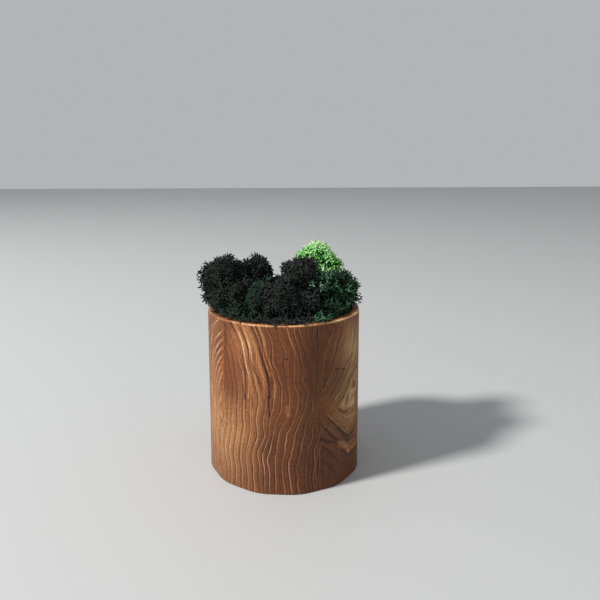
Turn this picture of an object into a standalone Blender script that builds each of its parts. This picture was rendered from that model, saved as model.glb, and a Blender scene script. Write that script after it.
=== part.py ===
"""A planter of preserved reindeer moss: a hollowed hardwood pot, a plug of dry foam in it, and five
cushions of moss that sit on the foam and lean out over the rim.

Metres, +Z up. The origin is the centre of the pot's foot, and the planter's front faces -Y.
Run it with: blender --background --python part.py
"""

import math
import random

import bmesh
import bpy
from mathutils import Euler, Matrix, Vector

MM = 0.001

# The pot: one block of wood with a bored hollow, whose outside is faced off by hand in faint flats
POT_RADIUS = 40.0 * MM
POT_HEIGHT = 85.5 * MM
WALL = 4.0 * MM
FLOOR = 9.0 * MM
POT_SIDES = 96
FLATS = 12
FLAT_DEPTH = POT_RADIUS / FLATS**2
FLAT_TURN = math.radians(-109.0)
RIM_ROUND = 0.8 * MM
FOOT_ROUND = 0.4 * MM
BORE_RADIUS = POT_RADIUS - WALL
SAME_HEIGHT = 0.01 * MM

# The plug of dry foam that the moss is seated on
SEAT_GAP = 0.3 * MM
FOAM_TOP = POT_HEIGHT - 8.0 * MM
FOAM_SIDES = 48

# The moss: each cushion is a few round heads grown together, and each head ends in forked tips.
# The fringe is the tips' length past the core, which never takes less than its share of a small head.
# A head whose reach is large forks twice.
MOSS_FOOT = FOAM_TOP + SEAT_GAP
FRINGE = 3.8 * MM
CORE_SHARE = 0.66
LARGE_REACH = 8.0 * MM
FORK_HEIGHT = 0.35
SHORTEST_TIP = 0.8
LONGEST_TIP = 1.1
TIP_LEAN = 0.7 * MM
MOSS_CLEARANCE = 0.35 * MM
GROWTH_STEP = 0.3 * MM

HARDWOOD = (0.330, 0.140, 0.060, 1.0)
DRY_FOAM = (0.120, 0.150, 0.080, 1.0)
DARK_MOSS = (0.012, 0.030, 0.018, 1.0)
TEAL_MOSS = (0.012, 0.070, 0.045, 1.0)
BRIGHT_MOSS = (0.090, 0.330, 0.035, 1.0)
SMOOTH_BELOW = math.radians(35.0)

# Each head is x, y, z of its middle and its radius out to the branch tips, in millimetres
CUSHIONS = {
    "moss_left": (
        DARK_MOSS,
        (
            (-32.0, -3.0, 103.0, 12.0),
            (-34.5, -5.0, 94.5, 7.8),
            (-13.5, 6.0, 103.5, 9.5),
            (-23.5, -9.0, 93.0, 12.0),
            (-30.5, -11.0, 90.5, 9.0),
            (-22.5, 0.0, 103.5, 9.3),
            (-19.0, 2.0, 96.0, 13.0),
            (-22.0, -19.0, 86.0, 9.0),
            (-23.0, -5.0, 85.0, 13.0),
        ),
    ),
    "moss_front": (
        DARK_MOSS,
        (
            (-11.0, -19.5, 94.0, 11.0),
            (7.0, -12.0, 102.5, 11.5),
            (-1.0, -22.0, 92.5, 13.0),
            (10.5, -21.0, 91.5, 9.5),
            (4.0, -13.0, 94.0, 13.0),
            (2.0, 2.0, 90.0, 12.0),
            (0.0, -18.0, 85.0, 15.0),
        ),
    ),
    "moss_bright": (
        BRIGHT_MOSS,
        (
            (18.0, 16.0, 108.0, 10.5),
            (24.5, 14.0, 104.5, 8.8),
            (11.0, 15.0, 106.5, 7.8),
            (20.0, 16.0, 96.0, 13.0),
            (29.0, 9.0, 88.0, 9.0),
            (19.0, 17.0, 86.0, 14.0),
        ),
    ),
    "moss_right": (
        TEAL_MOSS,
        (
            (30.0, -3.5, 96.0, 11.0),
            (20.5, -9.0, 98.0, 10.0),
            (34.0, 0.0, 90.0, 8.0),
            (26.0, -11.0, 90.0, 10.0),
            (23.0, -18.0, 86.0, 9.0),
            (19.0, -25.0, 86.0, 6.5),
            (25.0, -6.0, 85.0, 12.0),
        ),
    ),
    "moss_back": (
        DARK_MOSS,
        (
            (-14.0, 20.0, 92.5, 12.0),
            (-1.0, 25.0, 89.0, 10.5),
            (-26.0, 15.0, 90.0, 10.0),
            (-10.0, 18.0, 85.0, 14.0),
        ),
    ),
}


class Head:
    """One round head of a moss cushion: a core, and the reach of its branch tips."""

    def __init__(self, x, y, z, reach):
        self.middle = Vector((x, y, z)) * MM
        self.reach = reach * MM
        self.core = max(self.reach - FRINGE, CORE_SHARE * self.reach)


def clear_scene():
    for obj in list(bpy.data.objects):
        bpy.data.objects.remove(obj, do_unlink=True)


def new_collection(name):
    collection = bpy.data.collections.new(name)
    bpy.context.scene.collection.children.link(collection)
    return collection


def new_object(name, bm, collection):
    """A mesh object made from the bmesh, which is freed."""
    mesh = bpy.data.meshes.new(name)
    bm.to_mesh(mesh)
    bm.free()
    obj = bpy.data.objects.new(name, mesh)
    collection.objects.link(obj)
    return obj


def finish(obj, name, colour, roughness):
    """Gives the object its own Principled material."""
    material = bpy.data.materials.new(name)
    material.use_nodes = True
    shader = material.node_tree.nodes["Principled BSDF"]
    shader.inputs["Base Color"].default_value = colour
    shader.inputs["Roughness"].default_value = roughness
    shader.inputs["Metallic"].default_value = 0.0
    obj.data.materials.clear()
    obj.data.materials.append(material)


def smooth(obj):
    """Shades a turned shape smooth, except over its sharp edges."""
    obj.data.shade_smooth()
    obj.data.set_sharp_from_angle(angle=SMOOTH_BELOW)


def hide(cutter):
    cutter.display_type = "WIRE"
    cutter.hide_render = True


def cut_from(obj, name, cutter, solver="EXACT"):
    cut = obj.modifiers.new(name, "BOOLEAN")
    cut.operation = "DIFFERENCE"
    cut.solver = solver
    cut.object = cutter


def cylinder(radius, low, high, sides):
    """A bmesh of an upright capped cylinder on the pot's axis."""
    bm = bmesh.new()
    bmesh.ops.create_cone(
        bm,
        cap_ends=True,
        segments=sides,
        radius1=radius,
        radius2=radius,
        depth=high - low,
        matrix=Matrix.Translation((0.0, 0.0, (low + high) / 2)),
    )
    return bm


def sanded_radius(angle):
    """The pot's outline: a ripple this deep leaves each flat straight in its middle, with soft arrises."""
    return POT_RADIUS + FLAT_DEPTH * math.cos(FLATS * (angle - FLAT_TURN))


def round_edges(bm, height, width, segments):
    """Rounds the outline's edges at that height."""
    edges = [edge for edge in bm.edges if all(abs(v.co.z - height) < SAME_HEIGHT for v in edge.verts)]
    bmesh.ops.bevel(
        bm, geom=edges, offset=width, segments=segments, profile=0.5, affect="EDGES", material=-1
    )


def make_pot(parts, cutters):
    """The wooden pot, with its hollow cut out of a solid block."""
    bm = cylinder(POT_RADIUS, 0.0, POT_HEIGHT, POT_SIDES)
    for vertex in bm.verts:
        angle = math.atan2(vertex.co.y, vertex.co.x)
        radius = sanded_radius(angle)
        vertex.co.x = radius * math.cos(angle)
        vertex.co.y = radius * math.sin(angle)
    round_edges(bm, 0.0, FOOT_ROUND, 1)
    round_edges(bm, POT_HEIGHT, RIM_ROUND, 2)
    pot = new_object("pot", bm, parts)
    hollow = cylinder(BORE_RADIUS, FLOOR, POT_HEIGHT + WALL, POT_SIDES)
    cutter = new_object("hollow_cutter", hollow, cutters)
    smooth(pot)
    smooth(cutter)
    hide(cutter)
    cut_from(pot, "hollow", cutter)
    finish(pot, "oiled_hardwood", HARDWOOD, 0.45)


def make_foam(parts):
    """The plug of dry foam that fills the hollow."""
    bm = cylinder(BORE_RADIUS - SEAT_GAP, FLOOR + SEAT_GAP, FOAM_TOP, FOAM_SIDES)
    foam = new_object("foam_plug", bm, parts)
    smooth(foam)
    finish(foam, "dry_foam", DRY_FOAM, 0.95)


def new_mould(cutters):
    """The room that moss can't have: below the rim outside the hollow, and below the foam's top in it."""
    block = cylinder(POT_RADIUS * 2, 0.0, POT_HEIGHT + MOSS_CLEARANCE, FOAM_SIDES)
    mould = new_object("mould", block, cutters)
    room = cylinder(BORE_RADIUS - MOSS_CLEARANCE, MOSS_FOOT, POT_HEIGHT + WALL, FOAM_SIDES)
    hollow = new_object("mould_hollow", room, cutters)
    hide(mould)
    hide(hollow)
    cut_from(mould, "hollow", hollow)
    return mould


def beyond(point, heads):
    """How far outside the nearest head's reach a point lies; negative inside it."""
    return min((point - head.middle).length - head.reach for head in heads)


def is_free(point, own, others):
    """True where this cushion may grow: clear of the pot and foam, and nearer to it than to the others."""
    across = math.hypot(point.x, point.y)
    in_hollow = across < BORE_RADIUS - MOSS_CLEARANCE and point.z > MOSS_FOOT
    if not in_hollow and point.z < POT_HEIGHT + MOSS_CLEARANCE:
        return False
    return beyond(point, own) + 2 * MOSS_CLEARANCE < beyond(point, others)


def grow(head, direction, wanted, own, others):
    """The point that far from the head's middle, or the last free one before it."""
    steps = max(1, round(wanted / GROWTH_STEP))
    reached = head.middle
    for step in range(1, steps + 1):
        point = head.middle + direction * (wanted * step / steps)
        if not is_free(point, own, others):
            break
        reached = point
    return reached


def branching_head(head, own, others, rng):
    """A bmesh of one head: a rough ball, with each facet that shows drawn out into forked tips."""
    siblings = [other for other in own if other is not head]
    fringe = head.reach - head.core
    bm = bmesh.new()
    bmesh.ops.create_icosphere(bm, subdivisions=2, radius=head.core)
    turn = Euler([rng.uniform(0.0, math.tau) for _ in range(3)]).to_matrix()
    bmesh.ops.rotate(bm, verts=bm.verts, matrix=turn)
    length = {vertex: head.core for vertex in bm.verts}

    def shows(face):
        tip = head.middle + face.calc_center_median().normalized() * head.reach
        return tip.z > MOSS_FOOT and beyond(tip, siblings) > 0 and beyond(tip, others) > 0

    fork = bmesh.ops.poke(bm, faces=[face for face in bm.faces if shows(face)])
    if head.reach > LARGE_REACH:
        for vertex in fork["verts"]:
            length[vertex] = head.core + fringe * FORK_HEIGHT
        fork = bmesh.ops.poke(bm, faces=fork["faces"])
    for vertex in fork["verts"]:
        length[vertex] = head.core + fringe * rng.uniform(SHORTEST_TIP, LONGEST_TIP)
        vertex.co += Vector([rng.uniform(-TIP_LEAN, TIP_LEAN) for _ in range(3)])
    for vertex, wanted in length.items():
        vertex.co = grow(head, vertex.co.normalized(), wanted, own, others)
    return bm


def keep_main_body(mesh):
    """Drops the scraps that trimming leaves loose, and the skins of hollows that joining seals."""
    bm = bmesh.new()
    bm.from_mesh(mesh)
    left = set(bm.faces)
    bodies = []
    while left:
        body = [left.pop()]
        for face in body:
            near = {other for edge in face.edges for other in edge.link_faces} & left
            left -= near
            body.extend(near)
        bodies.append(body)
    bodies.sort(key=len)
    spare = [face for body in bodies[:-1] for face in body]
    bmesh.ops.delete(bm, geom=spare, context="FACES")
    bm.to_mesh(mesh)
    bm.free()
    return len(bodies) - 1


def make_cushion(name, colour, heads, others, mould, parts, rng):
    """One cushion of moss: its heads joined in one solid, with a foot that the foam and pot have shaped."""
    pieces = new_collection(name + "_pieces")
    for head in heads:
        new_object(name + "_head", branching_head(head, heads, others, rng), pieces)

    objects = list(pieces.objects)
    base = objects[0]
    pieces.objects.unlink(base)
    parts.objects.link(base)
    join = base.modifiers.new("grown_together", "BOOLEAN")
    join.operation = "UNION"
    join.operand_type = "COLLECTION"
    join.solver = "MANIFOLD"
    join.collection = pieces
    cut_from(base, "pressed_in_place", mould, "MANIFOLD")

    graph = bpy.context.evaluated_depsgraph_get()
    joined = bpy.data.meshes.new_from_object(base.evaluated_get(graph))
    joined.name = name
    dropped = keep_main_body(joined)
    for obj in objects:
        bpy.data.objects.remove(obj, do_unlink=True)
    bpy.data.collections.remove(pieces)
    cushion = bpy.data.objects.new(name, joined)
    parts.objects.link(cushion)
    finish(cushion, name + "_finish", colour, 0.9)
    joined.calc_loop_triangles()
    print(f"{name}: {len(heads)} heads, {len(joined.loop_triangles)} triangles, {dropped} scraps dropped")


def main():
    clear_scene()
    parts = new_collection("moss_planter")
    cutters = new_collection("cutters")
    make_pot(parts, cutters)
    make_foam(parts)
    grown = {name: [Head(*row) for row in rows] for name, (_, rows) in CUSHIONS.items()}
    mould = new_mould(cutters)
    rng = random.Random(12)
    for name, (colour, _) in CUSHIONS.items():
        others = [head for other, heads in grown.items() if other != name for head in heads]
        make_cushion(name, colour, grown[name], others, mould, parts, rng)


main()
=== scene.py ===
# %% [markdown]
# # A planter of preserved reindeer moss
#
# The real object is a small pot turned from one block of ring-porous hardwood, filled with dry foam and
# topped with cushions of dyed reindeer moss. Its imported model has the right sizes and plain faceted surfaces.
# This lesson dresses it: wood with growth rings that run through the block, and moss made of thousands of
# forked branchlets. The model is loaded as a fixed frame, so nothing here moves or resizes a part.

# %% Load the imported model
import math
import random

import bmesh
import bpy
import numpy as np
from mathutils import Euler, Matrix, Vector, noise
from mathutils.bvhtree import BVHTree


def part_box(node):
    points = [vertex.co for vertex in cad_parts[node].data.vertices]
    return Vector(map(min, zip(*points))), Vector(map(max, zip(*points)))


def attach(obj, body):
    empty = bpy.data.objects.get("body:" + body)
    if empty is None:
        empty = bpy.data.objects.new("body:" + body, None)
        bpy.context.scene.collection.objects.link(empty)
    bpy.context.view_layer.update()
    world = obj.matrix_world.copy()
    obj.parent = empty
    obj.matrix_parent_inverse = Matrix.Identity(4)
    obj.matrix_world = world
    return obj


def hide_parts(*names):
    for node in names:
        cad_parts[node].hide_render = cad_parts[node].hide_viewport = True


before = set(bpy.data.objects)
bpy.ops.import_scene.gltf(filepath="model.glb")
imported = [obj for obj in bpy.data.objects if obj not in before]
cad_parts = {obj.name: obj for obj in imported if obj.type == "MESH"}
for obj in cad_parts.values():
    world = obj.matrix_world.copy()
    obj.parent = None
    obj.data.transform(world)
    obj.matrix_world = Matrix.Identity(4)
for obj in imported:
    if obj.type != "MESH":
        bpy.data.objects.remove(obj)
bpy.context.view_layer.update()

MM = 0.001

# %% [markdown]
# ## The camera
#
# The photograph was taken with a phone's main lens from about 34 cm away, a little above the rim, and then
# cropped, so its centre isn't the picture's centre. A lens of 37 mm on Blender's 36 mm sensor gives the same
# perspective. The tilt makes the pot's sides lean together downwards as they do there, and a small shift puts
# the crop in place, which leaves the perspective as it was.

# %% Place the camera
FOCAL_LENGTH = 37.17
SENSOR = 36.0
CAMERA_PLACE = Vector((0.0, -322.5, 164.1)) * MM
CAMERA_PITCH = math.radians(8.54)
CAMERA_ROLL = math.radians(-0.24)
CROP_SHIFT = (0.0272, -0.0835)


def add_object(name, data):
    obj = bpy.data.objects.new(name, data)
    bpy.context.scene.collection.objects.link(obj)
    return obj


camera_data = bpy.data.cameras.new("camera")
camera_data.lens = FOCAL_LENGTH
camera_data.sensor_width = SENSOR
camera_data.shift_x, camera_data.shift_y = CROP_SHIFT
camera = add_object("camera", camera_data)
level = Euler((math.pi / 2 - CAMERA_PITCH, 0.0, 0.0)).to_matrix()
turn = level @ Matrix.Rotation(CAMERA_ROLL, 3, "Z")
camera.matrix_world = Matrix.Translation(CAMERA_PLACE) @ turn.to_4x4()
bpy.context.scene.camera = camera
print("camera at", tuple(round(v, 4) for v in CAMERA_PLACE))

# %% [markdown]
# ## Small helpers for materials
#
# Colours are picked in sRGB, as on a screen, but a shader works with linear light, so one function converts
# them. Another adds a node with its settings and its inputs. These are given by name, or simply in the node's
# own order, such as a range's value, least and most, and what it makes of those two. An input is a value, an
# output of an earlier node, or that node itself, which then gives its first output. A third function starts
# an empty material.

# %% Helpers for colours and nodes
MATH, NOISE, RANGE, MIX = "ShaderNodeMath", "ShaderNodeTexNoise", "ShaderNodeMapRange", "ShaderNodeMix"
STORED, RAMP, BUMP = "ShaderNodeAttribute", "ShaderNodeValToRGB", "ShaderNodeBump"
SHADER, OUTPUT = "ShaderNodeBsdfPrincipled", "ShaderNodeOutputMaterial"


def linear(hex_colour):
    """A linear RGBA colour from an sRGB hex value such as #4a7f3c."""
    channels = [int(hex_colour[i : i + 2], 16) / 255 for i in (1, 3, 5)]
    return [c / 12.92 if c <= 0.04045 else ((c + 0.055) / 1.055) ** 2.4 for c in channels] + [1.0]


def add_node(tree, kind, inputs, **settings):
    node = tree.nodes.new(kind)
    for name, value in settings.items():
        setattr(node, name, value)
    for name, value in inputs.items() if isinstance(inputs, dict) else enumerate(inputs):
        if isinstance(value, bpy.types.Node):
            value = next(output for output in value.outputs if output.enabled)
        if isinstance(value, bpy.types.NodeSocket):
            tree.links.new(value, node.inputs[name])
        else:
            node.inputs[name].default_value = value
    return node


def new_material(name):
    material = bpy.data.materials.new(name)
    material.use_nodes = True
    material.node_tree.nodes.clear()
    return material, material.node_tree


print("sRGB mid grey is", round(linear("#808080")[0], 3), "in linear light")

# %% [markdown]
# ## One sprig of moss
#
# A branch of reindeer moss is a stem that forks into three, and each of those forks again, so its outside is
# a field of small blunt tips, each a little under 1 mm thick. Blender could draw it as hair, but hair isn't a
# mesh and would be lost in an export. A sprig is so grown from one small triangle: the triangle is extruded
# into a stem, poked into three faces, and each face is extruded into a branch in turn. That gives one closed
# skin of about fifty faces, few enough to be copied thousands of times. Each point also stores how near it is
# to a tip, for the colour.

# %% Grow a few different sprigs
SPRIG_LENGTH = 6.6 * MM
SPRIG_KINDS = 18
STEM_RADIUS = 0.44 * MM
# radius, least and most length as a share of the sprig's, and how near to a tip it counts
STEM = (STEM_RADIUS, 0.38, 0.48, 0.35)
BRANCH = (0.42 * MM, 0.2, 0.28, 0.8)
TIP = (0.34 * MM, 0.16, 0.26, 1.0)
FORK_ANGLE = math.radians(52)
FORK_SCATTER = (0.7, 1.3)
MOST_LEAN = 0.2
SCATTER = 0.2
UPWARD = 0.5  # how much the tips turn up again
UP = Vector((0.0, 0.0, 1.0))


def splayed(rng, axis, side, angle):
    """A direction that leans from the axis to one side, with a little scatter."""
    scatter = Vector([rng.uniform(-SCATTER, SCATTER) for _ in range(3)])
    return (axis * math.cos(angle) + side * math.sin(angle) + scatter).normalized()


def draw_out(bm, face, direction, stage, rng, tip_layer):
    """Extrudes an end face along a direction; the new end is a small triangle square to it."""
    radius, shortest, longest, nearness = stage
    length = SPRIG_LENGTH * rng.uniform(shortest, longest)
    centre = face.calc_center_median()
    end = bmesh.ops.extrude_discrete_faces(bm, faces=[face])["faces"][0]
    turn = direction.to_track_quat("Z", "Y").to_matrix()
    target = centre + direction * length
    first = turn.inverted() @ (end.verts[0].co - centre)
    start = math.atan2(first.y, first.x)
    for index, vertex in enumerate(end.verts):
        angle = start + index * math.tau / 3
        vertex.co = target + turn @ Vector((math.cos(angle), math.sin(angle), 0.0)) * radius
        vertex[tip_layer] = nearness
    return end


def fork(bm, end, axis, rng, tip_layer):
    """Splits an end face in three; returns each part with the direction that it should grow in."""
    centre = end.calc_center_median()
    nearness = end.verts[0][tip_layer]
    poked = bmesh.ops.poke(bm, faces=[end])
    poked["verts"][0][tip_layer] = nearness
    parts = []
    for part in poked["faces"]:
        side = (part.calc_center_median() - centre).normalized()
        parts.append((part, splayed(rng, axis, side, FORK_ANGLE * rng.uniform(*FORK_SCATTER))))
    return parts


def mesh_from(bm, name):
    mesh = bpy.data.meshes.new(name)
    bm.to_mesh(mesh)
    bm.free()
    return mesh


def grow_sprig(name, seed):
    rng = random.Random(seed)
    bm = bmesh.new()
    tip_layer = bm.verts.layers.float.new("tip")
    bmesh.ops.create_circle(bm, cap_ends=True, segments=3, radius=STEM_RADIUS)
    lean = splayed(rng, UP, Vector((1.0, 0.0, 0.0)), rng.uniform(0.0, MOST_LEAN))
    bm.faces.ensure_lookup_table()
    stem_end = draw_out(bm, bm.faces[0], lean, STEM, rng, tip_layer)
    for branch, branch_way in fork(bm, stem_end, UP, rng, tip_layer):
        branch_end = draw_out(bm, branch, branch_way, BRANCH, rng, tip_layer)
        outward = (branch_way + UP * UPWARD).normalized()
        for tip, tip_way in fork(bm, branch_end, outward, rng, tip_layer):
            draw_out(bm, tip, tip_way, TIP, rng, tip_layer)
    return mesh_from(bm, name)


sprigs = [grow_sprig(f"sprig_{kind}", kind) for kind in range(SPRIG_KINDS)]
sprig_points = [[vertex.co.copy() for vertex in sprig.vertices] for sprig in sprigs]
print(len(sprigs), "sprigs of about", len(sprigs[0].polygons), "faces")

# %% [markdown]
# ## A cushion of moss
#
# A real cushion is dense inside and open at its edge, where single branchlets show against the light. Each
# cushion keeps the place and form of its solid in the model: the solid's spikes are smoothed away and the
# rest is drawn in a little, which leaves a core coloured dark as painted shade. A few soft pulls then shape
# the core as a hand does when it sets the moss. Sprigs are set all over it, pointing outwards. Soft noise
# gathers them into tufts: in a tuft they stand out to where the solid's spikes end, and between tufts they
# sit deeper, which leaves dark gaps, and deeper sprigs are painted darker too, as painted shade. A lower
# growth hides the core's smooth skin, a row of sprigs spills over the rim as the real ones do, and upright
# sprigs stand on the foam where no cushion covers it.

# %% Make a core for each cushion
MOSSES = {  # finish, fullness, and where sprigs spill over the wall: two angles, and how far in mm
    "moss_left": ("dark_moss", 0.76, (-160, -122, 4.5)),
    "moss_front": ("dark_moss", 0.95, (-122, -66, 4.0)),
    "moss_back": ("dark_moss", 1.0, (78, 158, 2.5)),
    "moss_right": ("teal_moss", 1.0, (-65, -46, 3.8)),
    "moss_bright": ("bright_moss", 1.6, (22, 76, 2.5)),
}
CORE_VOXEL = 1.3 * MM
CORE_SMOOTHING = 14
CORE_DRAWN_IN = 1.9 * MM
PULLS = {  # place, move and reach in mm of each pull on a core
    "moss_left": [
        ((-29, -2, 113), (0, 0, 1.4), 5),
        ((-13, 5, 111), (0, 0, 1.7), 5),
        ((-40, -3, 109), (0, 0, -1), 6),
        ((-43, -5, 102), (-3.4, 0, 0.8), 7),
        ((-38, -6, 92), (-1.8, -0.5, -2.4), 5.5),
    ],
    "moss_front": [
        ((12, -12, 109), (2.4, 0, 2.6), 6),
        ((-2, -11, 107), (0.5, 0, 2.3), 5),
        ((-4, -10, 101), (0, 0, 4), 5),
    ],
    "moss_bright": [((9, 16, 113), (1.4, 0, -1.2), 6), ((30, 15, 110), (-1.4, 0, -1.2), 7)],
    "moss_right": [((17, -12, 98), (-5.5, -4.5, 0), 6.5)],
}


def core_of(node):
    """A smooth core for a cushion, from its solid: an even skin over it, without its spikes, drawn in."""
    obj = add_object(node + "_core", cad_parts[node].data.copy())
    skin = obj.modifiers.new("even_skin", "REMESH")
    skin.mode = "VOXEL"
    skin.voxel_size = CORE_VOXEL
    flow = obj.modifiers.new("without_spikes", "SMOOTH")
    flow.factor = 0.5
    flow.iterations = CORE_SMOOTHING
    shrink = obj.modifiers.new("drawn_in", "DISPLACE")
    shrink.mid_level = 0.0
    shrink.strength = -CORE_DRAWN_IN
    graph = bpy.context.evaluated_depsgraph_get()
    core = bpy.data.meshes.new_from_object(obj.evaluated_get(graph))
    bpy.data.objects.remove(obj)
    for place, move, reach in PULLS.get(node, ()):
        for vertex in core.vertices:
            apart = (vertex.co / MM - Vector(place)).length
            vertex.co += Vector(move) * MM * math.exp(-((apart / reach) ** 2))
    core.update()
    return core


cores = {node: core_of(node) for node in MOSSES}
print("points in the cores:", {node: len(core.vertices) for node, core in cores.items()})

# %% Find roots for the sprigs
SPRIG_SPACING = 2.9 * MM
SPRIG_SUNK = 1.0 * MM
POT_CLEARANCE = 0.2 * MM
CLOSEST = 0.8  # two roots are never nearer than this share of their spacing
TRIES = 8  # for each place that a root could have
RIM_SPACING = 1.0 * MM
SPILL_SCATTER = 1.4  # in mm
SPILL_HEIGHTS = (-0.5, 1.5)  # over the wall's top, in mm
SPILL_TILTS = (-0.15, 0.3)
FOAM_GAP = 0.3 * MM
FOAM_TRIES = 4000
FOAM_SEED = 11

pot_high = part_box("pot")[1]
foam_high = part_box("foam_plug")[1]
RIM = pot_high.z
BORE = foam_high.x + FOAM_GAP


def scattered_points(mesh, spacing, rng):
    """Points spread over a mesh, none nearer to another than most of the spacing, each with its normal."""
    mesh.calc_loop_triangles()
    triangles = mesh.loop_triangles
    weights = [triangle.area for triangle in triangles]
    wanted = int(TRIES * sum(weights) / spacing**2)
    cells = {}
    chosen = []
    for triangle in rng.choices(triangles, weights, k=wanted):
        a, b, c = (mesh.vertices[i] for i in triangle.vertices)
        u, v = rng.random(), rng.random()
        if u + v > 1:
            u, v = 1 - u, 1 - v
        point = a.co + (b.co - a.co) * u + (c.co - a.co) * v
        normal = (a.normal * (1 - u - v) + b.normal * u + c.normal * v).normalized()
        cell = tuple(int(x // spacing) for x in point)
        near = (
            other
            for dx in (-1, 0, 1)
            for dy in (-1, 0, 1)
            for dz in (-1, 0, 1)
            for other in cells.get((cell[0] + dx, cell[1] + dy, cell[2] + dz), ())
        )
        if all((point - other).length > spacing * CLOSEST for other in near):
            cells.setdefault(cell, []).append(point)
            chosen.append((point, normal))
    return chosen


def rim_roots(first, last, spill, rng):
    """Roots for the sprigs that spill over the wall's top between two angles, pointing outwards."""
    roots = []
    degrees = first
    while degrees < last:
        angle = math.radians(degrees)
        outward = Vector((math.cos(angle), math.sin(angle), 0.0))
        over = (spill + rng.uniform(-SPILL_SCATTER, SPILL_SCATTER)) * MM
        root = outward * (BORE + over - SPRIG_LENGTH * 0.75)
        root.z = RIM + rng.uniform(*SPILL_HEIGHTS) * MM
        tilt = Vector((0.0, 0.0, rng.uniform(*SPILL_TILTS)))
        roots.append((root, (outward + tilt).normalized()))
        degrees += rng.uniform(0.7, 1.3) * math.degrees(RIM_SPACING / BORE)
    return roots


def gap_roots(rng):
    """Upright roots on the foam, for each cushion, where no cushion lies over it and bare foam would show."""
    covers = {
        node: BVHTree.FromPolygons([v.co for v in core.vertices], [p.vertices for p in core.polygons])
        for node, core in cores.items()
    }
    roots = {node: [] for node in cores}
    taken = []
    widest = BORE - SPRIG_LENGTH * 0.4
    height = foam_high.z + SPRIG_SUNK + 2 * POT_CLEARANCE
    for _ in range(FOAM_TRIES):
        angle, away = rng.uniform(0.0, math.tau), math.sqrt(rng.random()) * widest
        point = Vector((away * math.cos(angle), away * math.sin(angle), height))
        if any((point - other).length < SPRIG_SPACING * CLOSEST for other in taken):
            continue
        taken.append(point)
        if all(cover.ray_cast(point, UP)[0] is None for cover in covers.values()):
            nearest = min(covers, key=lambda node: covers[node].find_nearest(point)[3])
            roots[nearest].append((point, UP, 0.0, 0.0))
    return roots


between = gap_roots(random.Random(FOAM_SEED))
print({node: len(roots) for node, roots in between.items()}, "roots between the cushions")

# %% Set sprigs over a core
LOW_SPACING = 2.4 * MM  # of the lower growth
LOW_SEED = 50
DEEPEST = 3.0 * MM
# how much darker the deepest sprigs are painted, as painted shade
DEEP_PAINTED_SHADE = 0.6
TUFT_SIZE = 5.5 * MM
TUFT_STRENGTH = 0.6
TUFT_CURVE = 1.4
USUAL_STAND = 0.55  # how far sprigs stand out on the whole, from 0 to 1
SPRIG_LEAN = 0.3
SPRIG_SIZES = (0.9, 1.1)
PLACES_TRIED = 4
SOFT_REACH = 2.0 * MM
DYE_AND_SHADE_SPOTS = [  # place and reach in mm, how much lighter it is there, and how much greener: uneven dye, and in the darker spots painted shade in the gaps, at the bright cushion's right edge and on the teal one under the front cushion
    ((-40, -8, 99), 9, 0.1, 0.5), ((-31, -19, 91), 7, 0.0, 0.6), ((-18, -20, 101), 6, 0.1, 1.0),
    ((-18, -25, 92), 8, 0.1, 1.0), ((-11, -17, 104), 6, 0.1, 0.9), ((4, -31, 96), 11, -0.2, -0.3),
    ((15.5, -16, 101), 4, 0.3, 0.0), ((15, -21, 96), 4, 0.3, 0.0), ((25, -15, 100), 4.5, 0.25, 0.0),
    ((26, -22, 91), 4.5, 0.25, 0.0), ((35, -8, 90), 4, 0.2, 0.3), ((16, -31, 87), 3, -0.1, 0.0),
    ((22, -17, 95), 3.5, -0.5, -0.3), ((19, -25, 91), 4, -0.5, -0.3), ((25, -26, 87), 4.5, -0.45, -0.3),
    ((15, 4, 94), 7, -0.7, 0.0), ((28, 8, 104), 6, -0.28, 0.0), ((10, 14, 108), 7, -0.22, 0.0),
    ((25.5, 13, 115), 4.8, -0.8, 0.0), ((30.5, 10.5, 109.5), 4.5, -0.6, 0.0),
    ((20, 6.5, 110), 3.4, -0.55, 0.0), ((14, 12, 114), 6, 0.25, 0.0),
]


def settled(point):
    """Where soft moss would dip into the wall's top it lies on it; None is inside the foam."""
    across = math.hypot(point.x, point.y)
    if across < BORE - POT_CLEARANCE:
        return point if point.z > foam_high.z + POT_CLEARANCE else None
    if across > pot_high.x + 2 * POT_CLEARANCE or point.z > RIM + SOFT_REACH:
        return point
    pressed = (SOFT_REACH - POT_CLEARANCE) * math.exp((point.z - RIM - SOFT_REACH) / SOFT_REACH)
    return Vector((point.x, point.y, RIM + POT_CLEARANCE + pressed))


def sprig_place(point, normal, depth, rng):
    """Stands a sprig on the core, with its root below the surface, turned and leaning at random."""
    lean = Vector([rng.uniform(-SPRIG_LEAN, SPRIG_LEAN) for _ in range(3)])
    upright = (normal + lean).normalized().to_track_quat("Z", "Y").to_matrix().to_4x4()
    return (
        Matrix.Translation(point - normal * (SPRIG_SUNK + depth))
        @ upright
        @ Matrix.Rotation(rng.uniform(0.0, math.tau), 4, "Z")
        @ Matrix.Scale(rng.uniform(*SPRIG_SIZES), 4)
    )


def dye_and_shade_at(point):
    """How much lighter and how much greener the moss is at a point, from uneven dye and from painted shade."""
    lighter, greener = 0.0, 0.0
    for place, reach, more_light, more_green in DYE_AND_SHADE_SPOTS:
        near = math.exp(-(((point / MM - Vector(place)).length / reach) ** 2))
        lighter += more_light * near
        greener += more_green * near
    return lighter, greener


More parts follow.
